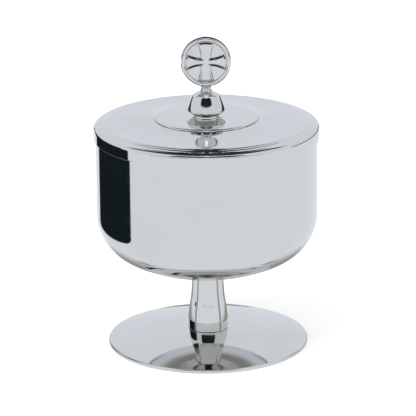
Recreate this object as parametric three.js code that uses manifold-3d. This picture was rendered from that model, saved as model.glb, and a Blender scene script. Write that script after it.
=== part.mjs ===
// A ciborium: a lidded altar cup of polished silver-coloured metal on a low domed foot.
// The foot, cup and lid are spun from sheet, the stem and the finial are turned, and the
// medallion on top is a ring that holds a cast cross pattée. Units are millimetres, +Z is up,
// and the origin is the centre of the face that the foot stands on.
import * as THREE from "three";
import { mergeVertices } from "three/addons/utils/BufferGeometryUtils.js";
import Module from "manifold-3d";

const wasm = await Module();
wasm.setup();

// Fits between pieces.
const solderFilm = 0.05; // between faces that are soldered or drawn tight
const threadFit = 0.15; // all round a thread, whose ridges are not modelled
const boreFit = 0.3; // all round a rod or a boss in a plain hole
const skirtFit = 0.5; // between the cup's wall and the lid's skirt
const lidSeatGap = 0.3; // between the cup's rim and the inside of the closed lid's round
const cutOverrun = 5; // how far a cutting tool runs past what it cuts

// Foot.
const footRadius = 67.2;
const footSheet = 1.5;
const footEdgeHeight = 2.2;
const footEdgeRound = 0.4;
const footHemWidth = 2.2;
const footCrownHeight = 9.25;

// Stem.
const stemLength = 38.8;
const stemFootRadius = 13.45;
const stemTopRadius = 10.4;
const stemBoreRadius = 7.5;
const stemEdgeRound = 0.5;
// Along the stem, then how much of the foot's extra radius is left there.
const stemTaperShares = [
  [0.11, 1],
  [0.21, 0.95],
  [0.39, 0.66],
  [0.58, 0.3],
  [0.78, 0.1],
  [1, 0],
];

// Cup.
const bowlRadius = 73.9;
const bowlWall = 1;
const bowlHeight = 102.8;
const bowlSeatRadius = 10.5;
const bowlCornerRadius = 32.5;
const bowlCornerRise = 43.2; // from the seat up to the corner arc's centre
const bowlCornerSweep = THREE.MathUtils.degToRad(64.7);
const bowlRimRound = 0.3;

// Fastening of foot, stem and cup.
const tieRodRadius = 3;
const tieRodChamfer = 0.5;
const tieRodProud = 0.8; // below the nut
const bossLength = 8;
const bossBoreDepth = 6.4;
const bossThreadEngaged = 5.5;
const footWasherRadius = 7.5;
const footWasherThickness = 1.2;
const footNutFlats = 10;
const footNutHeight = 3.2;

// Lid.
const lidSheet = 0.8;
const lidRound = 2.5;
const lidRoundSweep = THREE.MathUtils.degToRad(50); // how far the round turns up from the skirt
const lidSkirtDrop = 6.55; // from the round's centre down to the skirt's edge
const lidCrownRadius = 68.3; // where the crown ends and the step down to the ledge starts
const lidCrownRise = 4.2; // from the round's centre up to the crown's end
const lidCrownFall = 2.2; // from the flat middle down to the crown's end
// From the flat middle out to the crown's end, then how much of the fall is left there.
const lidCrownShares = [
  [0, 1],
  [0.116, 0.645],
  [0.227, 0.441],
  [0.366, 0.282],
  [0.532, 0.177],
  [0.698, 0.114],
  [0.864, 0.059],
  [1, 0],
];
// The step and the narrow ledge: from the crown's end out to the round's centre, and down to it.
const lidStepShares = [
  [0.36, 0.08],
  [0.54, 0.19],
  [0.68, 0.26],
  [0.86, 0.3],
  [1.11, 0.41],
];
const discRadius = 34.8;
const discThickness = 1.45;
const discEdgeRun = 4;
const discEdgeDrop = 1.1;

// Finial.
const neckRadius = 8.6;
const neckHeight = 1.65;
const bellHeight = 15.1;
const bellRimRadius = 12.8;
const bellRimRise = 2.7; // from the bell's foot up to its widest place
const bellRimRound = 1.1;
const bellShoulderRadius = 8.75;
const bellTopRise = 2; // the shallow cone above the shoulder
// Where the side's curve is drawn to: out from shoulder to rim, and down from it.
const bellSideShares = [0.63, 0.51];
const collarHeight = 3.85;
const collarRadius = 4.1;
const collarWaistRadius = 3.45;
const collarSeatRadius = 3.7;
const collarFlange = 0.9;

// Medallion, centred on its own middle, with its face square to Y.
const medallionRadius = 16.65;
const medallionRingWidth = 2.95;
const medallionRingDepth = 4.8;
const medallionRingRound = 1.2;
const crossDepth = 4;
const crossBevel = 0.55;
const uprightHalfWidth = 2.65;
const crossbarHalfWidth = 2.15;
const crossEndHalfWidth = 4.95;
const groundCentreDepth = 2.6;
const groundDishDepth = 1.5;
const groundEdgeDepth = 2.4;
const groundDishShare = 0.62; // how far out the dish is deepest

// Fastening of lid and finial.
const studRadius = 2;
const studChamfer = 0.3;
const studThreadEngaged = 2.6; // in the collar
const collarBoreDepth = 3;
const lidWasherRadius = 6.5;
const lidWasherThickness = 1.2;
const capNutFlats = 7;
const capNutHexHeight = 2.4;
const capNutDomeHeight = 2.6;
const capNutWall = 1; // over the end of the stud's hole

// Facets.
const shellFacets = 48;
const turnedFacets = 32;
const rodFacets = 16;
const arcSteps = 4;
const longCurveSteps = 6;
const shortCurveSteps = 3;
const smallRoundSteps = 2;
const hexagonSides = 6;
const mergeDistance = 0.001; // corners nearer to each other than this are one corner

// Levels, worked out from the foot upwards.
const stemLevel = footCrownHeight + solderFilm;
const bowlLevel = stemLevel + stemLength + solderFilm;
const rimLevel = bowlLevel + bowlHeight;
const lidRadius = bowlRadius + skirtFit + lidSheet;
const lidRoundAt = lidRadius - lidRound; // radius on which the round's centre lies
const lidInnerRound = lidRound - lidSheet;
const rimCornerAt = bowlRadius - bowlRimRound - lidRoundAt;
const lidSeatRise = Math.sqrt((lidInnerRound - lidSeatGap) ** 2 - rimCornerAt ** 2);
const lidLevel = rimLevel - lidSeatRise;
const lidTop = lidCrownRise + lidCrownFall;
const discLevel = lidTop + solderFilm;
const neckLevel = discLevel + discThickness + solderFilm;
const bellLevel = neckLevel + neckHeight + solderFilm;
const collarLevel = bellLevel + bellHeight + solderFilm;
const medallionSeat = Math.sqrt(medallionRadius ** 2 - collarSeatRadius ** 2);
const medallionLevel = collarLevel + collarHeight + solderFilm + medallionSeat;

// Points on an arc about a centre, between two angles from +r towards +z.
function arc(centreR, centreZ, radius, from, to, steps = arcSteps) {
  return Array.from({ length: steps + 1 }, (_, i) => {
    const angle = from + ((to - from) * i) / steps;
    return [centreR + radius * Math.cos(angle), centreZ + radius * Math.sin(angle)];
  });
}

// Points of a three.js 2-D curve as radius and height.
function along(curve, steps) {
  return curve.getPoints(steps).map((p) => [p.x, p.y]);
}

// A turned or spun solid about Z, from a profile that runs with its metal on the left.
function turned(profile, facets = turnedFacets) {
  const points = profile.map(([r, z]) => new THREE.Vector2(r, z));
  return new THREE.LatheGeometry(points, facets).rotateX(Math.PI / 2);
}

// The same, for a profile that does not touch the axis and so has to close on itself.
function turnedRing(profile, facets) {
  return turned([...profile, profile[0]], facets);
}

// A flat ring or a plain washer, standing on z = 0.
function washer(outer, inner, thickness) {
  return turnedRing([
    [inner, 0],
    [outer, 0],
    [outer, thickness],
    [inner, thickness],
  ]);
}

// A round rod with chamfered ends, standing on z = 0.
function rod(radius, length, chamfer) {
  return turned(
    [
      [0, 0],
      [radius - chamfer, 0],
      [radius, chamfer],
      [radius, length - chamfer],
      [radius - chamfer, length],
      [0, length],
    ],
    rodFacets,
  );
}

// A hexagon across flats, with a round hole when a radius is given.
function hexagonShape(flats, hole) {
  const reach = flats / 2 / Math.cos(Math.PI / hexagonSides);
  const corners = Array.from({ length: hexagonSides }, (_, i) => {
    const angle = (i * 2 * Math.PI) / hexagonSides;
    return new THREE.Vector2(reach * Math.cos(angle), reach * Math.sin(angle));
  });
  const shape = new THREE.Shape(corners);
  if (hole) {
    shape.holes.push(new THREE.Path().absarc(0, 0, hole, 0, 2 * Math.PI, true));
  }
  return shape;
}

// A closed geometry as a solid that can be joined and cut.
function solid(geometry) {
  const bare = geometry.clone();
  bare.deleteAttribute("normal");
  bare.deleteAttribute("uv");
  const merged = mergeVertices(bare, mergeDistance);
  const vertProperties = new Float32Array(merged.attributes.position.array);
  const triVerts = new Uint32Array(merged.index.array);
  return new wasm.Manifold(new wasm.Mesh({ numProp: 3, vertProperties, triVerts }));
}

// A solid as a geometry with flat faces.
function geometryOf(made) {
  const { vertProperties, triVerts } = made.getMesh();
  const geometry = new THREE.BufferGeometry();
  geometry.setAttribute("position", new THREE.BufferAttribute(vertProperties, 3));
  geometry.setIndex(new THREE.BufferAttribute(triVerts, 1));
  const flat = geometry.toNonIndexed();
  flat.computeVertexNormals();
  return flat;
}

// Foot: a shallow spun dome with a flat seat for the stem and a turned-in hem to stand on.
function footShell() {
  const hemRadius = footRadius - footHemWidth;
  const domeRise = footCrownHeight - footEdgeHeight;
  const domeSpread = footRadius ** 2 - stemFootRadius ** 2;
  const dome = (r) => footCrownHeight - (domeRise * (r ** 2 - stemFootRadius ** 2)) / domeSpread;
  const between = (from, to, steps, drop) =>
    Array.from({ length: steps + 1 }, (_, i) => {
      const r = from + ((to - from) * i) / steps;
      return [r, dome(r) - drop];
    });
  const hole = tieRodRadius + boreFit;
  const edgeStart = footEdgeHeight - footEdgeRound;
  return turnedRing(
    [
      [footRadius, 0],
      [footRadius, edgeStart],
      ...between(footRadius - footEdgeRound, stemFootRadius, longCurveSteps, 0),
      [hole, footCrownHeight],
      [hole, footCrownHeight - footSheet],
      ...between(stemFootRadius, hemRadius, shortCurveSteps, footSheet),
      [hemRadius, 0],
    ],
    shellFacets,
  );
}

// Stem: a turned tube that narrows upwards in a slow S.
function stemTube() {
  const taper = stemTaperShares.map(
    ([up, left]) =>
      new THREE.Vector2(stemTopRadius + (stemFootRadius - stemTopRadius) * left, stemLength * up),
  );
  return turnedRing([
    [stemFootRadius - stemEdgeRound, 0],
    [stemFootRadius, stemEdgeRound],
    ...along(new THREE.SplineCurve(taper), 2 * arcSteps),
    [stemBoreRadius, stemLength],
    [stemBoreRadius, 0],
  ]);
}

// Cup: one spun shell. Its belly is a tight corner arc that runs into a wide bottom arc, and
// the wide arc's radius follows from meeting both the corner and the edge of the seat.
function bowlShell() {
  const cornerAt = bowlRadius - bowlCornerRadius;
  const downR = Math.cos(bowlCornerSweep);
  const downZ = -Math.sin(bowlCornerSweep);
  const seatR = bowlSeatRadius - cornerAt;
  const seatZ = -bowlCornerRise;
  const apart =
    (seatR ** 2 + seatZ ** 2 - bowlCornerRadius ** 2) /
    (2 * (bowlCornerRadius - seatR * downR - seatZ * downZ));
  const bottomAt = cornerAt - apart * downR;
  const bottomRise = bowlCornerRise - apart * downZ;
  const bottomRadius = apart + bowlCornerRadius;
  const side = (inset) => {
    const reach = bottomRadius - inset;
    const corner = bowlCornerRadius - inset;
    const start = -Math.acos((bowlSeatRadius - bottomAt) / reach);
    return [
      ...arc(bottomAt, bottomRise, reach, start, -bowlCornerSweep),
      ...arc(cornerAt, bowlCornerRise, corner, -bowlCornerSweep, 0, longCurveSteps).slice(1),
    ];
  };
  const inside = side(bowlWall).reverse();
  const floor = inside[inside.length - 1][1];
  return turned(
    [
      [0, 0],
      ...side(0),
      [bowlRadius, bowlHeight - bowlRimRound],
      [bowlRadius - bowlRimRound, bowlHeight],
      [bowlRadius - bowlWall, bowlHeight],
      ...inside,
      [0, floor],
    ],
    shellFacets,
  );
}

// Boss: a plug soldered under the cup, drilled from below for the tie rod.
function bowlBoss() {
  const radius = stemBoreRadius - boreFit;
  const bore = tieRodRadius + threadFit;
  return turned(
    [
      [0, bossBoreDepth],
      [bore, bossBoreDepth],
      [bore, 0],
      [radius, 0],
      [radius, bossLength],
      [0, bossLength],
    ],
    rodFacets,
  );
}

// Nut: a plain hexagon nut.
function hexNut(flats, height, bore) {
  return new THREE.ExtrudeGeometry(hexagonShape(flats, bore), { depth: height, bevelEnabled: false });
}

// Cap nut: a hexagon with a domed end that covers the stud, since it shows inside the cup.
function capNut() {
  const domeRadius = capNutFlats / 2;
  const domeFrom = solderFilm; // the dome starts a little inside the hexagon, so that they join
  const dome = turned(
    [
      [0, -capNutDomeHeight],
      ...Array.from({ length: arcSteps }, (_, i) => {
        const angle = ((i + 1) / arcSteps) * (Math.PI / 2);
        return [domeRadius * Math.sin(angle), -capNutDomeHeight * Math.cos(angle)];
      }),
      [domeRadius, domeFrom],
      [0, domeFrom],
    ],
    rodFacets,
  );
  const boreDepth = capNutHexHeight + capNutDomeHeight - capNutWall;
  const bore = rod(studRadius + threadFit, boreDepth + cutOverrun, 0);
  bore.translate(0, 0, capNutHexHeight - boreDepth);
  return geometryOf(
    solid(hexNut(capNutFlats, capNutHexHeight))
      .add(solid(dome))
      .subtract(solid(bore)),
  );
}

// Lid: a spun plate, flat in the middle, with a slow hollow fall to its crown's end. From there
// it steps down to a narrow ledge and turns over a round into the skirt that slips over the cup.
function lidShell() {
  const inner = lidRadius - lidSheet;
  const hole = studRadius + boreFit;
  const face = [
    ...lidCrownShares.map(([out, left]) => [
      discRadius + (lidCrownRadius - discRadius) * out,
      lidTop - lidCrownFall * (1 - left),
    ]),
    ...lidStepShares.map(([out, down]) => [
      lidCrownRadius + (lidRoundAt - lidCrownRadius) * out,
      lidCrownRise * (1 - down),
    ]),
  ];
  const underFace = face.map(([r, z]) => [r, z - lidSheet]);
  return turnedRing(
    [
      [inner, -lidSkirtDrop],
      [lidRadius, -lidSkirtDrop],
      ...arc(lidRoundAt, 0, lidRound, 0, lidRoundSweep),
      ...face.reverse(),
      [hole, lidTop],
      [hole, lidTop - lidSheet],
      ...underFace,
      ...arc(lidRoundAt, 0, lidInnerRound, lidRoundSweep, 0),
    ],
    shellFacets,
  );
}

// Centre disc: a flat plate with a softly rounded edge, under the finial.
function centreDisc() {
  const edgeAt = discRadius - discEdgeRun;
  const edgeBase = discThickness - discEdgeDrop;
  const edge = Array.from({ length: arcSteps + 1 }, (_, i) => {
    const angle = (i / arcSteps) * (Math.PI / 2);
    return [edgeAt + discEdgeRun * Math.cos(angle), edgeBase + discEdgeDrop * Math.sin(angle)];
  });
  const hole = studRadius + boreFit;
  return turnedRing([[hole, 0], [discRadius, 0], ...edge, [hole, discThickness]], shellFacets);
}

// Bell: the knob that the lid is lifted by, undercut below and convex above.
function finialBell() {
  const bore = studRadius + boreFit;
  const shoulderRise = bellHeight - bellTopRise;
  const rimAt = bellRimRadius - bellRimRound;
  const rim = arc(rimAt, bellRimRise, bellRimRound, -Math.PI / 3, 0, shortCurveSteps);
  const side = new THREE.QuadraticBezierCurve(
    new THREE.Vector2(bellRimRadius, bellRimRise),
    new THREE.Vector2(
      bellShoulderRadius + (bellRimRadius - bellShoulderRadius) * bellSideShares[0],
      shoulderRise - (shoulderRise - bellRimRise) * bellSideShares[1],
    ),
    new THREE.Vector2(bellShoulderRadius, shoulderRise),
  );
  return turnedRing([
    [bore, 0],
    [neckRadius, 0],
    ...rim,
    ...along(side, arcSteps).slice(1),
    [collarRadius, bellHeight],
    [bore, bellHeight],
  ]);
}

// Collar: a small waisted piece with a blind hole below for the stud.
function finialCollar() {
  const bore = studRadius + threadFit;
  const waist = new THREE.QuadraticBezierCurve(
    new THREE.Vector2(collarRadius, collarFlange),
    new THREE.Vector2(2 * collarWaistRadius - (collarRadius + collarSeatRadius) / 2, collarHeight / 2),
    new THREE.Vector2(collarSeatRadius, collarHeight),
  );
  return turned([
    [0, collarBoreDepth],
    [bore, collarBoreDepth],
    [bore, 0],
    [collarRadius, 0],
    ...along(waist, arcSteps),
    [0, collarHeight],
  ]);
}

// Ring of the medallion: a turned hoop about Y with rounded edges, filed flat below for its seat.
function medallionRing() {
  const inner = medallionRadius - medallionRingWidth;
  const half = medallionRingDepth / 2;
  const round = medallionRingRound;
  const profile = [
    [inner, -half + round],
    ...arc(inner + round, -half + round, round, -Math.PI, -Math.PI / 2, smallRoundSteps).slice(1),
    ...arc(medallionRadius - round, -half + round, round, -Math.PI / 2, 0, shortCurveSteps),
    ...arc(medallionRadius - round, half - round, round, 0, Math.PI / 2, shortCurveSteps),
    ...arc(inner + round, half - round, round, Math.PI / 2, Math.PI, smallRoundSteps),
    [inner, -half + round],
  ];
  const hoop = new THREE.LatheGeometry(
    profile.map(([r, y]) => new THREE.Vector2(r, y)),
    shellFacets,
  );
  const waste = new THREE.BoxGeometry(medallionRadius, medallionRingDepth + cutOverrun, cutOverrun);
  waste.translate(0, 0, -medallionSeat - cutOverrun / 2);
  return geometryOf(solid(hoop).subtract(solid(waste)));
}

// Outline of a cross pattée: four arms that flare in hollow curves towards the ring.
function crossOutline(reach) {
  const endAngle = Math.asin(crossEndHalfWidth / reach);
  const shape = new THREE.Shape();
  [0, 1, 2, 3].forEach((arm) => {
    const half = arm % 2 ? uprightHalfWidth : crossbarHalfWidth;
    const other = arm % 2 ? crossbarHalfWidth : uprightHalfWidth;
    const turn = (arm * Math.PI) / 2;
    const at = (out, across) => [
      out * Math.cos(turn) - across * Math.sin(turn),
      out * Math.sin(turn) + across * Math.cos(turn),
    ];
    const end = reach * Math.cos(endAngle);
    const bendOut = (other + end) / 2;
    if (arm === 0) {
      shape.moveTo(...at(other, -half));
    }
    shape.quadraticCurveTo(...at(bendOut, -half), ...at(end, -crossEndHalfWidth));
    shape.absarc(0, 0, reach, turn - endAngle, turn + endAngle, false);
    shape.quadraticCurveTo(...at(bendOut, half), ...at(other, half));
  });
  return shape;
}

// Cross: one casting with the dished ground behind it, in relief on both faces.
function medallionCross() {
  const radius = medallionRadius - medallionRingWidth - solderFilm;
  const dishAt = radius * groundDishShare;
  const ground = new THREE.LatheGeometry(
    [
      [0, -groundCentreDepth / 2],
      [dishAt, -groundDishDepth / 2],
      [radius, -groundEdgeDepth / 2],
      [radius, groundEdgeDepth / 2],
      [dishAt, groundDishDepth / 2],
      [0, groundCentreDepth / 2],
    ].map(([r, y]) => new THREE.Vector2(r, y)),
    shellFacets,
  );
  const cross = new THREE.ExtrudeGeometry(crossOutline(radius - boreFit), {
    depth: crossDepth - 2 * crossBevel,
    bevelThickness: crossBevel,
    bevelSize: crossBevel,
    bevelOffset: -crossBevel,
    bevelSegments: smallRoundSteps,
    curveSegments: arcSteps,
  });
  cross.translate(0, 0, crossBevel - crossDepth / 2);
  cross.rotateX(Math.PI / 2);
  return geometryOf(solid(ground).add(solid(cross)));
}

// Finishes: mirror-polished outside, plain steel for what is out of sight.
const polished = () => new THREE.MeshStandardMaterial({ color: 0xd3d5da, roughness: 0.06, metalness: 1 });
const plainSteel = () => new THREE.MeshStandardMaterial({ color: 0x9a9ca0, roughness: 0.35, metalness: 1 });

// A named piece, standing at a height in the group that carries it.
function place(group, name, geometry, material, height) {
  const mesh = new THREE.Mesh(geometry, material());
  mesh.name = name;
  mesh.position.z = height;
  group.add(mesh);
}

const ciborium = new THREE.Group();

// The stand: foot, stem and cup, drawn together by the tie rod.
const stand = new THREE.Group();
ciborium.add(stand);
const bossLevel = bowlLevel - solderFilm - bossLength;
const footWasherLevel = footCrownHeight - footSheet - solderFilm - footWasherThickness;
const footNutLevel = footWasherLevel - solderFilm - footNutHeight;
const tieRodLevel = footNutLevel - tieRodProud;
const tieRodLength = bossLevel + bossThreadEngaged - tieRodLevel;
place(stand, "foot_shell", footShell(), polished, 0);
place(stand, "stem", stemTube(), polished, stemLevel);
place(stand, "bowl_shell", bowlShell(), polished, bowlLevel);
place(stand, "bowl_boss", bowlBoss(), plainSteel, bossLevel);
place(stand, "tie_rod", rod(tieRodRadius, tieRodLength, tieRodChamfer), plainSteel, tieRodLevel);
place(
  stand,
  "foot_washer",
  washer(footWasherRadius, tieRodRadius + boreFit, footWasherThickness),
  plainSteel,
  footWasherLevel,
);
place(
  stand,
  "foot_nut",
  hexNut(footNutFlats, footNutHeight, tieRodRadius + threadFit),
  plainSteel,
  footNutLevel,
);

// The lid with its finial, which stands on the centre of the lid's round shoulder.
const lid = new THREE.Group();
lid.position.z = lidLevel;
ciborium.add(lid);
const lidWasherLevel = lidTop - lidSheet - solderFilm - lidWasherThickness;
const capNutLevel = lidWasherLevel - solderFilm - capNutHexHeight;
const studLevel = capNutLevel - capNutDomeHeight + capNutWall + boreFit;
const studLength = collarLevel + studThreadEngaged - studLevel;
place(lid, "lid_shell", lidShell(), polished, 0);
place(lid, "lid_centre_disc", centreDisc(), polished, discLevel);
place(lid, "finial_neck", washer(neckRadius, studRadius + boreFit, neckHeight), polished, neckLevel);
place(lid, "finial_bell", finialBell(), polished, bellLevel);
place(lid, "finial_collar", finialCollar(), polished, collarLevel);
place(lid, "medallion_ring", medallionRing(), polished, medallionLevel);
place(lid, "medallion_cross", medallionCross(), polished, medallionLevel);
place(lid, "finial_stud", rod(studRadius, studLength, studChamfer), plainSteel, studLevel);
place(
  lid,
  "lid_washer",
  washer(lidWasherRadius, studRadius + boreFit, lidWasherThickness),
  polished,
  lidWasherLevel,
);
place(lid, "lid_cap_nut", capNut(), polished, capNutLevel);

export default ciborium;
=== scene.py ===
# A lidded altar cup of mirror-polished, silver-coloured metal, dressed around its measured frame.
# Lengths are in metres; mm turns a size in millimetres into metres.
import math
import bpy
from mathutils import Matrix, Vector


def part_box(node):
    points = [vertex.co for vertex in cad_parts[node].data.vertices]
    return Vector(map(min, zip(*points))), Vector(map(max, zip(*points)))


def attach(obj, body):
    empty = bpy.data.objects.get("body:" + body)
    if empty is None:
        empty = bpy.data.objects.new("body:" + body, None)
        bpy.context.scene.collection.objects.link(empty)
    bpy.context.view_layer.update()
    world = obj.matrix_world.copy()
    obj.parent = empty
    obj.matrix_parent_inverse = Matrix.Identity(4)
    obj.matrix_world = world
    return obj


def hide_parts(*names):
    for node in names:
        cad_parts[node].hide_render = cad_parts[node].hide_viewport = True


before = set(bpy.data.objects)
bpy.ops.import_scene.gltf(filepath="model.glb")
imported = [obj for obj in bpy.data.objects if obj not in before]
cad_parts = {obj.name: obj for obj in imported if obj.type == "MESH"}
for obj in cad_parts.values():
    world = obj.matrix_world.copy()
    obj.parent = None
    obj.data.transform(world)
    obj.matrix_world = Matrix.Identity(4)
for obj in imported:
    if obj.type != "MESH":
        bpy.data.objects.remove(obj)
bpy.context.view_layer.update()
scene = bpy.context.scene
mm = 0.001


# Foot shell: a shallow dome spun from brass sheet and plated, polished to a mirror on top.
# Its edge is turned down and in, so that it stands on a narrow flat hem; the underside is
# left as spun. It is drawn up against the stem by the nut beneath it.
foot_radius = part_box("foot_shell")[1].x
foot_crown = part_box("foot_shell")[1].z
foot_seat_radius = 13.45 * mm
foot_edge = 2.2 * mm
foot_edge_bevel = 0.3 * mm
foot_edge_round = 0.9 * mm
foot_edge_sweep = 84
foot_sheet = 1.5 * mm
foot_hem = 2.2 * mm
foot_hem_side = 0.2 * mm
foot_hole = 3.3 * mm
foot_steps = 40
wide_sides = 288


def arc(centre_r, centre_z, radius, start, end, steps=12):
    """Points of an arc in the half plane of a profile, between two angles in degrees."""
    angles = [math.radians(start + (end - start) * i / steps) for i in range(steps + 1)]
    return [(centre_r + radius * math.cos(a), centre_z + radius * math.sin(a)) for a in angles]


def with_guards(profile, closed):
    """The profile with extra points near the ends of long straight runs, for even shading."""
    guard = 0.4 * mm
    long_run = 3 * mm
    ends = profile[1:] + ([profile[0]] if closed else [])
    full = []
    for (r0, z0), (r1, z1) in zip(profile, ends):
        full.append((r0, z0))
        length = math.hypot(r1 - r0, z1 - z0)
        if length > long_run:
            for share in (guard / length, 0.5, 1 - guard / length):
                full.append((r0 + (r1 - r0) * share, z0 + (z1 - z0) * share))
    if not closed:
        full.append(profile[-1])
    return full


def add_mesh(name, points, faces, materials, crease=28):
    """A mesh object with smooth shading that stays crisp at creases, given in degrees."""
    mesh = bpy.data.meshes.new(name)
    mesh.from_pydata(points, [], faces)
    mesh.validate()
    mesh.shade_smooth()
    mesh.set_sharp_from_angle(angle=math.radians(crease))
    for material in materials:
        mesh.materials.append(material)
    piece = bpy.data.objects.new(name, mesh)
    scene.collection.objects.link(piece)
    return piece


def turn(name, profile, materials, sides=wide_sides, inner=None):
    """A turned or spun piece: the profile runs with its metal on the left, as radius and height.
    Faces whose middle point makes inner(r, z) true take the second material."""
    closed = profile[0][0] > 0
    profile = with_guards(profile, closed)
    points, rings = [], []
    for r, z in profile:
        count = sides if r > 0 else 1
        rings.append(range(len(points), len(points) + count))
        for k in range(count):
            angle = 2 * math.pi * k / sides
            points.append((r * math.cos(angle), r * math.sin(angle), z))
    faces, slots = [], []
    pairs = list(zip(rings, rings[1:] + ([rings[0]] if closed else [])))
    heights = list(zip(profile, profile[1:] + ([profile[0]] if closed else [])))
    for (low, high), ((r0, z0), (r1, z1)) in zip(pairs, heights):
        slot = int(bool(inner and inner((r0 + r1) / 2, (z0 + z1) / 2)))
        for k in range(sides):
            k2 = (k + 1) % sides
            corners = [low[k % len(low)], low[k2 % len(low)], high[k2 % len(high)], high[k % len(high)]]
            corners = list(dict.fromkeys(corners))
            if len(corners) > 2:
                faces.append(corners)
                slots.append(slot)
    piece = add_mesh(name, points, faces, materials)
    piece.data.polygons.foreach_set("material_index", slots)
    return piece


def new_group(name, inputs, outputs):
    """A shader node group with float inputs and outputs, and its two end nodes."""
    group = bpy.data.node_groups.new(name, "ShaderNodeTree")
    for label, value in inputs.items():
        socket = group.interface.new_socket(label, in_out="INPUT", socket_type="NodeSocketFloat")
        socket.default_value = value
    for label in outputs:
        group.interface.new_socket(label, in_out="OUTPUT", socket_type="NodeSocketFloat")
    return group, group.nodes.new("NodeGroupInput"), group.nodes.new("NodeGroupOutput")


def add_node(tree, kind, inputs=(), **settings):
    """A node whose inputs are values or other nodes' output sockets, given by name or number."""
    node = tree.nodes.new(kind)
    for key, value in settings.items():
        setattr(node, key, value)
    for key, value in dict(inputs).items():
        if isinstance(value, bpy.types.NodeSocket):
            tree.links.new(value, node.inputs[key])
        else:
            node.inputs[key].default_value = value
    return node


def sum_up(tree, operation, *values):
    """One maths node; its result socket."""
    return add_node(tree, "ShaderNodeMath", dict(enumerate(values)), operation=operation).outputs[0]


def distance(tree, x, y):
    """How far a place with these two coordinates lies from nought; its result socket."""
    squares = sum_up(tree, "ADD", sum_up(tree, "POWER", x, 2.0), sum_up(tree, "POWER", y, 2.0))
    return sum_up(tree, "SQRT", squares)


def ramp(tree, value, low, high):
    """A smooth step of a value from nought at one level to one at the other."""
    limits = {"Value": value, "From Min": low, "From Max": high}
    return add_node(tree, "ShaderNodeMapRange", limits, interpolation_type="SMOOTHSTEP").outputs[0]


def blend_colours(tree, share, first, second):
    """A colour between two others; its result socket."""
    return add_node(tree, "ShaderNodeMix", {0: share, 6: first, 7: second}, data_type="RGBA").outputs[2]


def build_turning_marks():
    """Fine rings about the axis, as a tool or a polishing mop leaves them on turned metal."""
    tree, given, result = new_group(
        "turning_marks", {"Rings per Metre": 900.0, "Wander": 0.7}, ["Marks"])
    place = add_node(tree, "ShaderNodeTexCoord").outputs["Object"]
    axes = add_node(tree, "ShaderNodeSeparateXYZ", {0: place}).outputs
    rings = given.outputs["Rings per Metre"]
    bearing = sum_up(tree, "ARCTAN2", axes[1], axes[0])
    across = add_node(tree, "ShaderNodeCombineXYZ", {
        0: sum_up(tree, "MULTIPLY", distance(tree, axes[0], axes[1]), rings),
        1: sum_up(tree, "MULTIPLY", axes[2], rings),
        2: sum_up(tree, "MULTIPLY", bearing, given.outputs["Wander"]),
    }).outputs[0]
    noise = add_node(tree, "ShaderNodeTexNoise", {"Vector": across, "Scale": 1.0, "Detail": 3.0})
    tree.links.new(noise.outputs["Fac"], result.inputs["Marks"])
    return tree


def build_hand_wear():
    """Soft clouds of handling and cleaning, and hairline scratches that cross each other."""
    tree, given, result = new_group(
        "hand_wear", {"Cloud Scale": 28.0, "Hairline Width": 0.006}, ["Clouds", "Hairlines"])
    cloud_band = (0.45, 0.72)
    broken_band = (0.5, 0.6)
    # Each course of hairlines: how far it is tilted, and how it is stretched along three axes.
    courses = [(0.5, (14.0, 190.0, 60.0)), (1.9, (22.0, 150.0, 90.0)), (2.7, (9.0, 240.0, 30.0))]
    place = add_node(tree, "ShaderNodeTexCoord").outputs["Object"]
    cloud = add_node(tree, "ShaderNodeTexNoise", {
        "Vector": place, "Scale": given.outputs["Cloud Scale"], "Detail": 5.0, "Roughness": 0.6})
    tree.links.new(ramp(tree, cloud.outputs["Fac"], *cloud_band), result.inputs["Clouds"])
    lines = 0.0
    for tilt, stretch in courses:
        turned = add_node(tree, "ShaderNodeMapping", {
            "Vector": place, "Rotation": (tilt, 0.7 * tilt, tilt), "Scale": stretch}).outputs[0]
        streak = add_node(tree, "ShaderNodeTexNoise", {"Vector": turned, "Scale": 1.0, "Detail": 1.0})
        off_middle = sum_up(tree, "ABSOLUTE", sum_up(tree, "SUBTRACT", streak.outputs["Fac"], 0.5))
        line = sum_up(tree, "LESS_THAN", off_middle, given.outputs["Hairline Width"])
        lines = sum_up(tree, "MAXIMUM", lines, line)
    broken = add_node(tree, "ShaderNodeTexNoise", {"Vector": place, "Scale": 70.0, "Detail": 2.0})
    kept = ramp(tree, broken.outputs["Fac"], *broken_band)
    tree.links.new(sum_up(tree, "MULTIPLY", lines, kept), result.inputs["Hairlines"])
    return tree


def build_hollow_tarnish_and_shade():
    """Hollows, which a polishing mop hardly reaches, so that the metal in them is duller. The mask also
    carries painted shade into them.
    """
    tree, given, result = new_group("hollow_tarnish_and_shade", {"Spread": 0.05}, ["Hollow"])
    flat = 0.5
    pointed = add_node(tree, "ShaderNodeNewGeometry").outputs["Pointiness"]
    deepest = sum_up(tree, "SUBTRACT", flat, given.outputs["Spread"])
    tree.links.new(ramp(tree, pointed, flat, deepest), result.inputs["Hollow"])
    return tree


turning_marks = build_turning_marks()
hand_wear = build_hand_wear()
hollow_tarnish_and_shade = build_hollow_tarnish_and_shade()
hairline_dulling = 0.03
hairline_depth = -0.5


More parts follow.
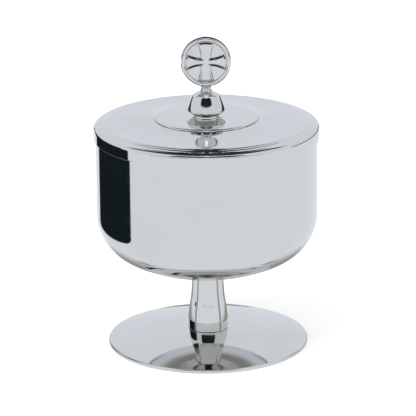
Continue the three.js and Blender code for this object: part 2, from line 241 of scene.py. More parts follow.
def metal(name, tint, dull_and_shaded_tint, roughness, rings=900.0, marks=0.02, clouds=0.03, relief=0.02,
          depth=0.01 * mm, cloud_tint=0.35, hollow_tarnish_and_shade_tint=0.5, spread=0.05):
    """Polished or turned metal. Clouds of wear dull its tint, and hollows darken it with tarnish and
    painted shade; these, tool marks and hairlines vary its roughness; and tool marks and hairlines
    stand in its bump."""
    material = bpy.data.materials.new(name)
    material.use_nodes = True
    tree = material.node_tree
    shader = tree.nodes["Principled BSDF"]
    shader.inputs["Metallic"].default_value = 1.0
    tooling = add_node(tree, "ShaderNodeGroup", node_tree=turning_marks)
    tooling.inputs["Rings per Metre"].default_value = rings
    wear = add_node(tree, "ShaderNodeGroup", node_tree=hand_wear)
    tarnish = add_node(tree, "ShaderNodeGroup", node_tree=hollow_tarnish_and_shade)
    tarnish.inputs["Spread"].default_value = spread
    mark, cloud = tooling.outputs["Marks"], wear.outputs["Clouds"]
    hairline, hollow = wear.outputs["Hairlines"], tarnish.outputs["Hollow"]

    # Hollows darken with tarnish and painted shade; clouds of wear dull the tint.
    dulled_and_shaded = sum_up(tree, "MULTIPLY", hollow, hollow_tarnish_and_shade_tint)
    dulled_and_shaded = sum_up(tree, "MULTIPLY_ADD", cloud, cloud_tint, dulled_and_shaded)
    colour = blend_colours(tree, dulled_and_shaded, (*tint, 1), (*dull_and_shaded_tint, 1))
    tree.links.new(colour, shader.inputs["Base Color"])
    rough = roughness
    for mask, share in ((mark, marks), (cloud, clouds), (hairline, hairline_dulling), (hollow, clouds)):
        rough = sum_up(tree, "MULTIPLY_ADD", mask, share, rough)
    tree.links.new(rough, shader.inputs["Roughness"])
    height = sum_up(tree, "MULTIPLY_ADD", hairline, hairline_depth, mark)
    bump = add_node(tree, "ShaderNodeBump", {"Strength": relief, "Distance": depth, "Height": height})
    tree.links.new(bump.outputs[0], shader.inputs["Normal"])
    return material


silver = (0.715, 0.705, 0.675)
mirror_silver = metal("mirror_silver", tint=silver, dull_and_shaded_tint=(0.64, 0.62, 0.58), roughness=0.035)
spun_silver = metal(
    "spun_silver", tint=(0.6, 0.6, 0.6), dull_and_shaded_tint=(0.5, 0.49, 0.47), roughness=0.22,
    rings=1400.0, marks=0.15, clouds=0.08, relief=0.25, depth=0.05 * mm,
)


def foot_dome(r):
    """Height of the dome's upper face at a radius."""
    fall = (r ** 2 - foot_seat_radius ** 2) / (foot_radius ** 2 - foot_seat_radius ** 2)
    return foot_crown - (foot_crown - foot_edge) * max(fall, 0)


def under_foot(r, z):
    """True on the dome's underside and under the hem."""
    return z < foot_dome(r) - 0.5 * foot_sheet and r < foot_radius - foot_hem_side


hem_inner = foot_radius - foot_hem
dome_end = foot_radius - foot_edge_round
dome_run = dome_end - foot_seat_radius
dome_radii = [dome_end - dome_run * i / foot_steps for i in range(1, foot_steps + 1)]
foot_shell = turn(
    "foot_dome",
    [(foot_radius - foot_edge_bevel, 0), (foot_radius, foot_edge_bevel)]
    + arc(dome_end, foot_dome(dome_end) - foot_edge_round, foot_edge_round, 0, foot_edge_sweep)
    + [(r, foot_dome(r)) for r in dome_radii]
    + [(foot_hole, foot_crown), (foot_hole, foot_crown - foot_sheet)]
    + [(r, foot_dome(r) - foot_sheet) for r in reversed(dome_radii) if r < hem_inner]
    + [(hem_inner, foot_dome(hem_inner) - foot_sheet), (hem_inner, 0)],
    [mirror_silver, spun_silver],
    inner=under_foot,
)
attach(foot_shell, "stand")
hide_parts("foot_shell")


# Stem: turned from bar, bored through for the tie rod, and mirror polished. It stands on the
# flat middle of the foot and narrows upwards in a slow S to the seat under the cup.
stem_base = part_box("stem")[0].z
stem_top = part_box("stem")[1].z
stem_length = stem_top - stem_base
stem_foot_radius = 13.45 * mm
stem_top_radius = 10.4 * mm
stem_bore = 7.5 * mm
stem_bore_side = 0.1 * mm
stem_round = 0.5 * mm
# The share of the way up, and the share of the taper that is left there.
stem_taper_shares = [(0.0, 1), (0.11, 1), (0.21, 0.95), (0.39, 0.66), (0.58, 0.3), (0.78, 0.1), (1, 0)]


def smooth_through(points, steps=8):
    """A smooth curve through the points, as many short steps."""
    curve = []
    last = len(points) - 1
    for i in range(last):
        four = points[max(i - 1, 0)], points[i], points[i + 1], points[min(i + 2, last)]
        for k in range(steps):
            t = k / steps
            curve.append(tuple(
                0.5 * (2 * b + (c - a) * t + (2 * a - 5 * b + 4 * c - d) * t ** 2
                       + (3 * b - a - 3 * c + d) * t ** 3)
                for a, b, c, d in zip(*four)
            ))
    return curve + [points[-1]]


stem_side = smooth_through([
    (stem_top_radius + (stem_foot_radius - stem_top_radius) * left, stem_base + stem_length * up)
    for up, left in stem_taper_shares
])
stem = turn(
    "stem_turned",
    arc(stem_foot_radius - stem_round, stem_base + stem_round, stem_round, -90, 0, 6)
    + [p for p in stem_side if p[1] > stem_base + 2 * stem_round]
    + [(stem_bore, stem_top), (stem_bore, stem_base)],
    [mirror_silver, spun_silver],
    inner=lambda r, z: r < stem_bore + stem_bore_side,
)
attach(stem, "stand")
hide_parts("stem")


# Cup: one deep shell spun from sheet, with an upright wall and a belly that runs from a tight
# corner arc into a wide bottom arc. It is mirror polished outside and satin inside, and it is
# soldered to the boss that takes the tie rod.
cup_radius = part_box("bowl_shell")[1].x
cup_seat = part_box("bowl_shell")[0].z
cup_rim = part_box("bowl_shell")[1].z
cup_wall = 1.0 * mm
cup_seat_radius = 10.5 * mm
cup_corner = 32.5 * mm
cup_corner_rise = 43.2 * mm
cup_corner_sweep = 64.7
cup_corner_run = 14 * mm
cup_lip_edge = 0.1 * mm
cup_near = 3 * mm
cup_corner_r = cup_radius - cup_corner
cup_corner_z = cup_seat + cup_corner_rise


def cup_profile():
    """The shell's outline: outside from the seat up to the rim, then down the inside."""
    sweep = math.radians(cup_corner_sweep)
    down = (math.cos(sweep), -math.sin(sweep))
    seat = (cup_seat_radius - cup_corner_r, -cup_corner_rise)
    apart = (seat[0] ** 2 + seat[1] ** 2 - cup_corner ** 2) / (
        2 * (cup_corner - seat[0] * down[0] - seat[1] * down[1]))
    bottom_r, bottom_z = cup_corner_r - apart * down[0], cup_corner_z - apart * down[1]

    def side(inset):
        reach = cup_corner + apart - inset
        start = -math.degrees(math.acos((cup_seat_radius - bottom_r) / reach))
        belly = arc(bottom_r, bottom_z, reach, start, -cup_corner_sweep, 48)
        return belly + arc(cup_corner_r, cup_corner_z, cup_corner - inset, -cup_corner_sweep, 0, 40)[1:]

    inside = side(cup_wall)[::-1]
    lip = cup_wall / 2
    rim = arc(cup_radius - lip, cup_rim - lip, lip, 0, 180, 10)
    return [(0, cup_seat)] + side(0) + rim + inside + [(0, inside[-1][1])]


cup_points = cup_profile()


def in_cup(r, z):
    """True on the inside of the cup's wall."""
    if z > cup_corner_z:
        return r < cup_radius - 0.6 * cup_wall and z < cup_rim - cup_lip_edge
    if r > cup_corner_r + cup_corner_run:
        return math.hypot(r - cup_corner_r, z - cup_corner_z) < cup_corner - 0.5 * cup_wall
    low = min(p[1] for p in cup_points if abs(p[0] - r) < cup_near)
    return z > low + 0.5 * cup_wall


satin_silver = metal(
    "satin_silver", tint=(0.68, 0.68, 0.69), dull_and_shaded_tint=(0.6, 0.59, 0.57), roughness=0.16,
    rings=1100.0, marks=0.1, clouds=0.06, relief=0.12, depth=0.04 * mm,
)
cup = turn("cup_shell", cup_points, [mirror_silver, satin_silver], inner=in_cup)
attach(cup, "stand")
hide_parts("bowl_shell")


# Fastening under the cup and foot: a steel boss soldered under the cup, a threaded tie rod,
# and a washer and nut inside the hollow of the foot. Only their ends show from below.
turned_steel = metal(
    "turned_steel", tint=(0.56, 0.57, 0.58), dull_and_shaded_tint=(0.42, 0.41, 0.4), roughness=0.28,
    rings=2500.0, marks=0.2, clouds=0.12, relief=0.3, depth=0.05 * mm,
)


def finish_nodes(names, material):
    """Gives the frame's own solids, which stay as they are, their material."""
    for name in names:
        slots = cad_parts[name].data.materials
        slots.clear()
        slots.append(material)


finish_nodes(["bowl_boss", "tie_rod", "foot_washer", "foot_nut"], turned_steel)


# Lid shell: a spun plate, flat in the middle, with a slow hollow fall to its crown's end, a step
# down to a narrow ledge, and a round that turns into the skirt. The skirt slips over the cup's
# wall. It is mirror polished above and satin below.
lid_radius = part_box("lid_shell")[1].x
lid_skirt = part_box("lid_shell")[0].z
lid_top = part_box("lid_shell")[1].z
lid_sheet = 0.8 * mm
lid_round = 2.5 * mm
lid_round_sweep = 50
lid_hole = 2.3 * mm
lid_crown_radius = 68.3 * mm
lid_crown_rise = 4.2 * mm
lid_crown_fall = 2.2 * mm
# The share of the way from the disc's edge to the crown's end, and the share of the crown's fall
# that is left there.
lid_crown_shares = [
    (0, 1), (0.116, 0.645), (0.227, 0.441), (0.366, 0.282), (0.532, 0.177), (0.698, 0.114),
    (0.864, 0.065), (0.945, 0.03),
]
# The share of the way from the crown's end to the round's centre, and the share of the height
# between them that is lost there. The step starts a little before the one and ends past the other.
lid_step_shares = [(-0.16, 0.03), (0.07, 0.17), (0.23, 0.245), (0.5, 0.28), (0.84, 0.33), (1.11, 0.41)]
disc_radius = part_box("lid_centre_disc")[1].x
lid_round_at = lid_radius - lid_round
lid_round_z = lid_top - lid_crown_fall - lid_crown_rise
lid_lip = lid_sheet / 2


def lid_face(inset):
    """The lid's face from the disc's edge out over the crown, the step, the ledge and the round."""
    crown_run = lid_crown_radius - disc_radius
    step_run = lid_round_at - lid_crown_radius
    crown = [(disc_radius + crown_run * out, lid_top - lid_crown_fall * (1 - left) - inset)
             for out, left in lid_crown_shares]
    step = [(lid_crown_radius + step_run * out, lid_round_z + lid_crown_rise * (1 - down) - inset)
            for out, down in lid_step_shares]
    turn_down = arc(lid_round_at, lid_round_z, lid_round - inset, lid_round_sweep, 0, 20)
    return smooth_through(crown + step + [turn_down[0]])[:-1] + turn_down


def under_lid(r, z):
    """True on the inside of the lid."""
    low = min((abs(r - p[0]), p[1]) for p in lid_face(lid_sheet))[1]
    return r < lid_radius - 0.5 * lid_sheet and z < low + 0.3 * lid_sheet and z > lid_skirt + lid_lip


lid_shell = turn(
    "lid_spun",
    arc(lid_radius - lid_lip, lid_skirt + lid_lip, lid_lip, -180, 0, 10)
    + lid_face(0)[::-1]
    + [(lid_hole, lid_top), (lid_hole, lid_top - lid_sheet)]
    + lid_face(lid_sheet),
    [mirror_silver, satin_silver],
    inner=under_lid,
)
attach(lid_shell, "lid")
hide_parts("lid_shell")


# Centre disc: a flat plate with a softly rounded edge, turned and mirror polished. The stud goes
# through its hole and holds it between the lid and the finial's neck.
disc_low, disc_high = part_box("lid_centre_disc")
disc_under_bevel = 0.2 * mm
disc_under_rise = 0.1 * mm
disc_edge_run = 4 * mm
disc_edge_drop = 1.1 * mm
disc_edge_steps = 20
disc_edge_turns = [math.radians(90 * i / disc_edge_steps) for i in range(disc_edge_steps + 1)]
disc_edge = [
    (disc_radius - disc_edge_run * (1 - math.cos(a)), disc_high.z - disc_edge_drop * (1 - math.sin(a)))
    for a in disc_edge_turns
]
centre_disc = turn(
    "centre_disc",
    [(lid_hole, disc_low.z), (disc_radius - disc_under_bevel, disc_low.z),
     (disc_radius, disc_low.z + disc_under_rise)]
    + disc_edge + [(lid_hole, disc_high.z)],
    [mirror_silver],
)
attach(centre_disc, "lid")
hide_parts("lid_centre_disc")


# Neck: a short turned spacer with a shallow waist, mirror polished. It lifts the knob clear of
# the disc, so that fingers reach under the knob.
neck_low, neck_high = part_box("finial_neck")
neck_waist = 0.15 * mm
neck_sides = 144


def bend(start, control, end, steps=20):
    """Points of a curve that leaves start towards control and arrives at end from it."""
    shares = [i / steps for i in range(steps + 1)]
    return [tuple((1 - t) ** 2 * a + 2 * t * (1 - t) * b + t ** 2 * c
                  for a, b, c in zip(start, control, end)) for t in shares]


neck = turn(
    "finial_neck_turned",
    [(lid_hole, neck_low.z)]
    + bend((neck_high.x, neck_low.z), (neck_high.x - 2 * neck_waist, (neck_low.z + neck_high.z) / 2),
           (neck_high.x, neck_high.z), 10)
    + [(lid_hole, neck_high.z)],
    [mirror_silver],
    sides=neck_sides,
)
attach(neck, "lid")
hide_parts("finial_neck")


# Bell: the knob that the lid is lifted by, turned from bar and mirror polished. It is undercut
# below, swells to a rounded rim and draws in to a small shoulder.
bell_low, bell_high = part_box("finial_bell")
bell_rim_rise = 2.7 * mm
bell_rim_round = 1.1 * mm
bell_rim_sweep = 50
bell_under = 9.9 * mm
bell_under_run = 0.9 * mm
bell_under_rise = 0.7 * mm
bell_under_end_shares = (0.36, 0.77)
bell_pull_shares = (0.63, 0.51)
bell_shoulder_radius = 8.75 * mm
bell_shoulder_round = 0.9 * mm
bell_shoulder_rise = 0.35 * mm
bell_top_rise = 2 * mm
bell_top_radius = 4.1 * mm
bell_sides = 192
bell_shoulder = (bell_shoulder_radius, bell_high.z - bell_top_rise)
bell_rim = (bell_high.x, bell_low.z + bell_rim_rise)
bell_under_end = (bell_rim[0] - bell_under_end_shares[0] * bell_rim_round,
                  bell_rim[1] - bell_under_end_shares[1] * bell_rim_round)
bell_pull = (bell_shoulder[0] + (bell_rim[0] - bell_shoulder[0]) * bell_pull_shares[0],
             bell_shoulder[1] - (bell_shoulder[1] - bell_rim[1]) * bell_pull_shares[1])
bell_side = bend(bell_rim, bell_pull, bell_shoulder)
bell = turn(
    "finial_bell_turned",
    [(lid_hole, bell_low.z), (neck_high.x, bell_low.z)]
    + bend((bell_under, bell_low.z), (bell_under + bell_under_run, bell_low.z + bell_under_rise),
           bell_under_end, 12)[:-1]
    + arc(bell_rim[0] - bell_rim_round, bell_rim[1], bell_rim_round, -bell_rim_sweep, 0)
    + bell_side[1:-2]
    + bend(bell_side[-3], bell_shoulder,
           (bell_shoulder[0] - bell_shoulder_round, bell_shoulder[1] + bell_shoulder_rise), 8)
    + [(bell_top_radius, bell_high.z), (lid_hole, bell_high.z)],
    [mirror_silver],
    sides=bell_sides,
)
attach(bell, "lid")
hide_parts("finial_bell")


# Collar: a small waisted turning between bell and medallion, mirror polished. It has a rounded
# flange below, and the medallion's ring is soldered on its flat top.
collar_low, collar_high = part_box("finial_collar")
collar_radius = 4.1 * mm
collar_under_bevel = 0.3 * mm
collar_flange = 0.9 * mm
collar_flange_sweep = 80
collar_waist = 3.45 * mm
collar_waist_start = (0.15 * mm, 0.1 * mm)
collar_waist_end = (0.1 * mm, 0.4 * mm)
collar_seat = 3.7 * mm
collar_seat_round = 0.25 * mm
collar_sides = 96
collar_middle = (collar_low.z + collar_flange + collar_high.z) / 2
collar = turn(
    "finial_collar_turned",
    [(0, collar_low.z), (collar_radius - collar_under_bevel, collar_low.z)]
    + arc(collar_radius - collar_flange / 2, collar_low.z + collar_flange / 2, collar_flange / 2,
          -collar_flange_sweep, collar_flange_sweep, 8)
    + bend((collar_waist + collar_waist_start[0], collar_low.z + collar_flange + collar_waist_start[1]),
           (2 * collar_waist - collar_seat, collar_middle),
           (collar_seat - collar_waist_end[0], collar_high.z - collar_waist_end[1]), 10)
    + arc(collar_seat - collar_seat_round, collar_high.z - collar_seat_round, collar_seat_round,
          0, 90, 4)
    + [(0, collar_high.z)],
    [mirror_silver],
    sides=collar_sides,
)
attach(collar, "lid")
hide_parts("finial_collar")


# Medallion ring: a turned hoop with rounded edges, filed flat below where it is soldered to the
# collar. Its axis lies along Y, so that the cross inside it faces front and back.
ring_low, ring_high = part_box("medallion_ring")
ring_radius = ring_high.x
ring_centre = ring_high.z - ring_radius
ring_half = ring_high.y
ring_width = 2.95 * mm
ring_round = 1.2 * mm
ring_sides = 192


def hoop_section():
    """The hoop's closed section: radius and depth, with round outer and inner edges."""
    inner = ring_radius - ring_width + ring_round
    outer = ring_radius - ring_round
    back, front = ring_half - ring_round, -ring_half + ring_round
    return (arc(inner, front, ring_round, -180, -90, 8) + arc(outer, front, ring_round, -90, 0, 10)
            + arc(outer, back, ring_round, 0, 90, 10) + arc(inner, back, ring_round, 90, 180, 8))


def hoop():
    """The hoop as a mesh whose lowest points are pressed up to the flat of its seat."""
    section = hoop_section()
    points, faces = [], []
    for k in range(ring_sides):
        angle = 2 * math.pi * k / ring_sides
        for r, y in section:
            points.append((r * math.cos(angle), y, max(ring_centre + r * math.sin(angle), ring_low.z)))
    count = len(section)
    for k in range(ring_sides):
        after = (k + 1) % ring_sides
        for j in range(count):
            j2 = (j + 1) % count
            faces.append((k * count + j, k * count + j2, after * count + j2, after * count + j))
    return add_mesh("medallion_hoop", points, faces, [mirror_silver])


ring = hoop()
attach(ring, "lid")
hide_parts("medallion_ring")


# Cross: one casting in the hoop, a cross pattée in relief on both faces with the dished ground
# between its arms. It is polished by hand, and painted shade darkens its corners nearly to black.
cross_fit = 0.05 * mm
cross_reach = ring_radius - ring_width - cross_fit
cross_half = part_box("medallion_cross")[1].y
cross_crown = 0.12 * mm
upright_half = 2.65 * mm
crossbar_half = 2.15 * mm
cross_end_half = 4.95 * mm
arm_flare = 1.9
ground_centre = 1.15 * mm
ground_dish = 1.0 * mm
ground_edge = 1.15 * mm
dish_share = 0.62
dish_at = dish_share * cross_reach
bevel = 1.45 * mm
bevel_outside_share = 0.3
cross_crease = 50
# Its hollows take a near-black tint: painted shade in the corners, standing in for the dark lines that
# the polished edges reflect.
cast_silver = metal(
    "cast_silver", tint=silver, dull_and_shaded_tint=(0.16, 0.16, 0.15), roughness=0.07,
    rings=500.0, marks=0.03, clouds=0.06, relief=0.05, depth=0.02 * mm,
    cloud_tint=0.12, hollow_tarnish_and_shade_tint=0.95, spread=0.03,
)


def arm_half(out, start_half, start):
    """Half the width of an arm at a distance from the centre, flaring in a hollow curve."""
    end = math.sqrt(cross_reach ** 2 - cross_end_half ** 2)
    t = min(max((out - start) / (end - start), 0), 1)
    return start_half + (cross_end_half - start_half) * t ** arm_flare


def outside_cross(x, z):
    """How far a point of the face lies outside the cross; less than zero on the arms."""
    on_upright = abs(x) - arm_half(abs(z), upright_half, crossbar_half)
    on_crossbar = abs(z) - arm_half(abs(x), crossbar_half, upright_half)
    return min(on_upright, on_crossbar)


def ground_at(r):
    """Half the depth of the dished ground at a radius."""
    share = r / dish_at if r < dish_at else (cross_reach - r) / (cross_reach - dish_at)
    side = ground_centre if r < dish_at else ground_edge
    fade = 0.5 + 0.5 * math.cos(math.pi * min(max(share, 0), 1))
    return ground_dish + (side - ground_dish) * fade


def face_depth(x, z):
    """Half the depth of the casting at a point of its face."""
    r = math.hypot(x, z)
    low = ground_at(r)
    inside = min(bevel_outside_share * bevel - outside_cross(x, z), cross_reach - r)
    rise = min(max(inside / bevel, 0), 1)
    crown = cross_half - cross_crown * (r / cross_reach) ** 2
    return low + (crown - low) * rise


def quarter_bearings(r):
    """Bearings across a quarter of the face at a radius, crowded where an arm's edge falls."""
    samples = (5, 10, 8, 10, 5)
    least_flat_share = 0.3
    least_ground = 0.02
    quarter = math.pi / 2
    first = math.asin(min(arm_half(r, crossbar_half, upright_half) / r, 1))
    second = quarter - math.asin(min(arm_half(r, upright_half, crossbar_half) / r, 1))
    if first > second:
        first = second = (first + second) / 2
    width = bevel / r
    stops = [0, max(first - width, least_flat_share * first), first + width, second - width,
             min(second + width, quarter - least_flat_share * (quarter - second)), quarter]
    if stops[3] - stops[2] < least_ground:
        middle = (first + second) / 2
        stops[2] = middle - least_ground / 2
        stops[3] = middle + least_ground / 2
    bearings = []
    for low, high, count in zip(stops, stops[1:], samples):
        bearings += [low + (high - low) * i / count for i in range(count)]
    return bearings


def cast_cross():
    """The casting as a closed mesh: rings of points on both faces, joined at the edge."""
    ring_count = 64
    crowding = 0.9
    around = 4 * len(quarter_bearings(cross_reach))
    radii = [cross_reach * ((i + 1) / ring_count) ** crowding for i in range(ring_count)]
    points, faces = [], []
    starts = {}
    for sign in (-1, 1):
        middle = len(points)
        points.append((0, sign * face_depth(0, 0), ring_centre))
        starts[sign] = first_ring = len(points)
        for r in radii:
            bearings = quarter_bearings(r)
            mirrored_bearings = [0] + [math.pi / 2 - a for a in reversed(bearings[1:])]
            for quarter in range(4):
                for angle in mirrored_bearings if quarter % 2 else bearings:
                    bearing = angle + quarter * math.pi / 2
                    x, z = r * math.cos(bearing), r * math.sin(bearing)
                    points.append((x, sign * face_depth(x, z), ring_centre + z))
        for k in range(around):
            k2 = (k + 1) % around
            tip = (middle, first_ring + k, first_ring + k2)
            faces.append(tip if sign < 0 else tip[::-1])
            for i in range(ring_count - 1):
                a = first_ring + i * around
                quad = (a + k, a + around + k, a + around + k2, a + k2)
                faces.append(quad if sign < 0 else quad[::-1])
    last = (ring_count - 1) * around
    front, back = starts[-1] + last, starts[1] + last
    for k in range(around):
        k2 = (k + 1) % around
        faces.append((front + k, back + k, back + k2, front + k2))
    return add_mesh("medallion_cross_cast", points, faces, [cast_silver], cross_crease)


cross = cast_cross()
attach(cross, "lid")
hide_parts("medallion_cross")


# Fastening under the lid: the finial's steel stud, and the washer and domed nut on its end. The
# washer and nut show inside the cup, so they have the lid's satin finish.
finish_nodes(["finial_stud"], turned_steel)
finish_nodes(["lid_washer", "lid_cap_nut"], satin_silver)


# Floor: a pale matt paper that the vessel stands on, white where the camera sees it. It keeps the
# vessel's shadow, and mirrors see the sheet of the next section in its place.
floor_reach = 4.0
floor_tone = (0.97, 0.97, 0.97, 1)
floor_lift = 0.3
paper = bpy.data.materials.new("paper")
paper.use_nodes = True
paper_tree = paper.node_tree
paper_shader = paper_tree.nodes["Principled BSDF"]
paper_shader.inputs["Base Color"].default_value = floor_tone
paper_shader.inputs["Roughness"].default_value = 1.0
paper_shader.inputs["Emission Color"].default_value = (1, 1, 1, 1)
seen_by = add_node(paper_tree, "ShaderNodeLightPath")
paper_tree.links.new(sum_up(paper_tree, "MULTIPLY", seen_by.outputs["Is Camera Ray"], floor_lift),
                     paper_shader.inputs["Emission Strength"])


def add_sheet(name, left, right, front, back, height, material):
    """A level rectangle."""
    corners = [(left, front, height), (right, front, height),
               (right, back, height), (left, back, height)]
    return add_mesh(name, corners, [(0, 1, 2, 3)], [material])


floor = add_sheet("floor", -floor_reach, floor_reach, -floor_reach, floor_reach, 0, paper)
floor.visible_glossy = False


# Mirrored sheet: the same paper as the polished metal sees it, as bright from everywhere. It ends
# before the surround does, and the vessel's own shade lies on it, a little behind the axis.
sheet_front = 1.1
sheet_side = 1.3
sheet_back = 3.0
sheet_height = 0.0002
sheet_tone = (0.86, 0.905, 0.99, 1)
shade_tone = (0.33, 0.34, 0.31, 1)
shade_behind = 0.07
shade_inner = 0.08
shade_outer = 0.14


def glowing(name, colour=None):
    """A material that shows the same colour from everywhere, and its glow and tree."""
    material = bpy.data.materials.new(name)
    material.use_nodes = True
    tree = material.node_tree
    tree.nodes.remove(tree.nodes["Principled BSDF"])
    glow = add_node(tree, "ShaderNodeEmission", {"Strength": 1.0})
    if colour:
        glow.inputs["Color"].default_value = (*colour, 1)
    tree.links.new(glow.outputs[0], tree.nodes["Material Output"].inputs["Surface"])
    return material, glow, tree


def mirrored_only(piece):
    """Leaves a stage piece to the mirrors: neither the camera nor the shadows know it."""
    piece.visible_camera = False
    piece.visible_shadow = False
    piece.visible_diffuse = False


sheet_paper, sheet_glow, sheet_tree = glowing("sheet_paper")
spot = add_node(sheet_tree, "ShaderNodeSeparateXYZ", {
    0: add_node(sheet_tree, "ShaderNodeTexCoord").outputs["Object"]}).outputs
from_shade = distance(sheet_tree, spot[0], sum_up(sheet_tree, "SUBTRACT", spot[1], shade_behind))
unshaded = ramp(sheet_tree, from_shade, shade_inner, shade_outer)
sheet_tree.links.new(blend_colours(sheet_tree, unshaded, shade_tone, sheet_tone),
                     sheet_glow.inputs["Color"])
mirrored_only(add_sheet("mirrored_sheet", -sheet_side, sheet_side, -sheet_front, sheet_back,
                        sheet_height, sheet_paper))


# Cards: a tall dark one at the left, which the cup's side mirrors, a dark arch close behind the
# medallion for its outline, a glowing white one over the knob for a painted highlight, and two low
# grey ones beside the foot.
# Their sizes and places are in millimetres.
dark_card = glowing("dark_card", (0.008, 0.014, 0.017))[0]
bright_card = glowing("bright_card", (1.9, 1.95, 2.0))[0]
grey_card = glowing("grey_card", (0.38, 0.39, 0.37))[0]


def panel(name, corners, material):
    """A flat panel that only mirrors see."""
    piece = add_mesh(name, [Vector(c) * mm for c in corners], [tuple(range(len(corners)))], [material])
    mirrored_only(piece)


left_x, left_front, left_back = -176, -62, 165
left_low, left_high, left_corner = 8, 140, 45
corner_turns = [math.radians(a) for a in range(15, 91, 15)]
left_outline = (
    [(left_back, left_high), (left_front, left_high), (left_front, left_low + left_corner)]
    + [(left_front + left_corner * (1 - math.cos(a)), left_low + left_corner * (1 - math.sin(a)))
       for a in corner_turns]
    + [(left_back, left_low)]
)
panel("left_card", [(left_x, y, z) for y, z in left_outline], dark_card)

arch_y, arch_inner, arch_outer = 9, 17.5, 55
arch_start, arch_sweep, arch_steps = 8, 164, 40
arch_z = ring_centre / mm
arch_turns = [math.radians(arch_start + arch_sweep * k / arch_steps) for k in range(arch_steps + 1)]
arch_points = [(r * math.cos(a) * mm, arch_y * mm, (arch_z + r * math.sin(a)) * mm)
               for r in (arch_inner, arch_outer) for a in arch_turns]
arch_faces = [(k, k + 1, k + arch_steps + 2, k + arch_steps + 1) for k in range(arch_steps)]
mirrored_only(add_mesh("medallion_arch", arch_points, arch_faces, [dark_card]))

top_half, top_front, top_back, top_z = 18, -77, -62, 300
panel(
    "top_card",
    [(-top_half, top_front, top_z), (top_half, top_front, top_z), (top_half, top_back, top_z),
     (-top_half, top_back, top_z)],
    bright_card,
)

low_reach, low_base, low_height, low_half_turn = 76, 1, 30, 6
for name, turned_out in (("low_card_left", -71), ("low_card_right", 69)):
    ends = [math.radians(turned_out - low_half_turn), math.radians(turned_out + low_half_turn)]
    line = [(low_reach * math.sin(a), -low_reach * math.cos(a)) for a in ends]
    foot_line = [(x, y, low_base) for x, y in line]
    top_line = [(x, y, low_height) for x, y in reversed(line)]
    panel(name, foot_line + top_line, grey_card)


# Surround: white where the camera looks past the vessel, a plain pale light on what is matt, and
# for mirrors a cool pale room with dark patches and a small bright one, which draw the lines that
# the metal shows.
room_tone = (0.79, 0.845, 0.93, 1)
plain_tone = (0.8, 0.8, 0.8, 1)
dark_tone = (0.03, 0.035, 0.04)
# Each patch: the bearing of its middle from the camera's side towards the right, half its width,
# its lowest and highest elevation and its softness, all in degrees, and its colour.
surround_patches = [
    ((38, 19, -30, 0, 2), dark_tone),
    ((-38, 19, -30, 0, 2), dark_tone),
    ((128, 33, -30, 4, 2), dark_tone),
    ((-128, 33, -30, 4, 2), dark_tone),
    ((180, 34, 50, 82, 6), dark_tone),
    ((0, 41, 26, 62, 2), (0.015, 0.02, 0.024)),
    ((0, 3, 56, 60, 1), (2.4, 2.5, 2.6)),
]


def build_patch():
    """One where a direction falls inside a patch of the surround, with soft edges."""
    tree, given, result = new_group(
        "patch", {"Bearing": 0.0, "Height": 0.0, "Middle": 0.0, "Half Width": 30.0, "Low": 0.0,
                  "High": 10.0, "Softness": 1.0}, ["Mask"])
    put = given.outputs
    away = sum_up(tree, "SUBTRACT", put["Bearing"], put["Middle"])
    away = sum_up(tree, "ABSOLUTE", sum_up(tree, "WRAP", away, 180.0, -180.0))
    across = ramp(tree, away, sum_up(tree, "ADD", put["Half Width"], put["Softness"]), put["Half Width"])
    above = ramp(tree, put["Height"], sum_up(tree, "SUBTRACT", put["Low"], put["Softness"]), put["Low"])
    below = ramp(tree, put["Height"], sum_up(tree, "ADD", put["High"], put["Softness"]), put["High"])
    inside = sum_up(tree, "MULTIPLY", across, sum_up(tree, "MULTIPLY", above, below))
    tree.links.new(inside, result.inputs["Mask"])
    return tree


patch_group = build_patch()
world = bpy.data.worlds.new("studio")
scene.world = world
world.use_nodes = True
sky = world.node_tree
sky.nodes.clear()
direction = add_node(sky, "ShaderNodeTexCoord").outputs["Generated"]
parts = add_node(sky, "ShaderNodeSeparateXYZ", {0: direction}).outputs
elevation = sum_up(sky, "DEGREES", sum_up(sky, "ARCSINE", parts[2]))
frontward = sum_up(sky, "MULTIPLY", parts[1], -1.0)
bearing = sum_up(sky, "DEGREES", sum_up(sky, "ARCTAN2", parts[0], frontward))
colour = room_tone
for (middle, half_width, low, high, softness), tone in surround_patches:
    patch = add_node(sky, "ShaderNodeGroup", node_tree=patch_group)
    sky.links.new(bearing, patch.inputs["Bearing"])
    sky.links.new(elevation, patch.inputs["Height"])
    for label, value in (("Middle", middle), ("Half Width", half_width), ("Low", low), ("High", high),
                         ("Softness", softness)):
        patch.inputs[label].default_value = value
    colour = blend_colours(sky, patch.outputs["Mask"], colour, (*tone, 1))
path = add_node(sky, "ShaderNodeLightPath").outputs
mirrored = add_node(sky, "ShaderNodeBackground", {"Color": colour}).outputs[0]
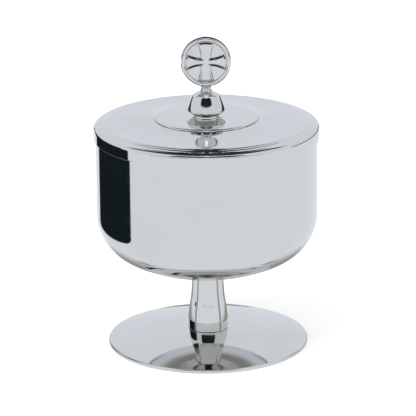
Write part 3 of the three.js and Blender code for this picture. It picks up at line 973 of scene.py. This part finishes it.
plain = add_node(sky, "ShaderNodeBackground", {"Color": plain_tone}).outputs[0]
white = add_node(sky, "ShaderNodeBackground", {"Color": (1, 1, 1, 1)}).outputs[0]
by_mirrors = sum_up(sky, "MAXIMUM", path["Is Glossy Ray"], path["Is Transmission Ray"])
unseen = add_node(sky, "ShaderNodeMixShader", {0: by_mirrors, 1: plain, 2: mirrored}).outputs[0]
seen = add_node(sky, "ShaderNodeMixShader", {0: path["Is Camera Ray"], 1: unseen, 2: white}).outputs[0]
add_node(sky, "ShaderNodeOutputWorld", {"Surface": seen})


# Light: one broad soft lamp above and to the left, for a gentle shadow to the right. Mirrors
# don't see it.
lamp_data = bpy.data.lights.new("soft_lamp", "AREA")
lamp_data.shape = "DISK"
lamp_data.size = 1.2
lamp_data.energy = 9.0
lamp = bpy.data.objects.new("soft_lamp", lamp_data)
lamp.location = (-0.7, -0.6, 1.6)
lamp.rotation_euler = Vector(lamp.location).to_track_quat("Z", "Y").to_euler()
lamp.visible_glossy = False
scene.collection.objects.link(lamp)


# Camera: a long lens that looks down a little, as the photograph was taken. Its lens and shift are
# worked out in pixels of the 416 by 416 photograph, and the vessel's axis stands a little off the
# middle.
frame_pixels = 416
focal_pixels = 3050
axis_pixels = -0.85
camera_away = 1.950
camera_height = 0.709
pitch = math.radians(17.52)
roll = math.radians(0.5)
camera_data = bpy.data.cameras.new("camera")
camera_data.sensor_width = 36
camera_data.lens = focal_pixels * camera_data.sensor_width / frame_pixels
camera_data.shift_x = -axis_pixels / frame_pixels
camera_data.clip_end = 100
camera = bpy.data.objects.new("camera", camera_data)
level_right = Vector((1, 0, 0))
forward = Vector((0, math.cos(pitch), -math.sin(pitch)))
upward = Vector((0, math.sin(pitch), math.cos(pitch)))
right = level_right * math.cos(roll) - upward * math.sin(roll)
up = level_right * math.sin(roll) + upward * math.cos(roll)
turned_by = Matrix((right, up, -forward)).transposed().to_4x4()
camera.matrix_world = Matrix.Translation((0, -camera_away, camera_height)) @ turned_by
scene.collection.objects.link(camera)
scene.camera = camera
scene.view_settings.view_transform = "Standard"
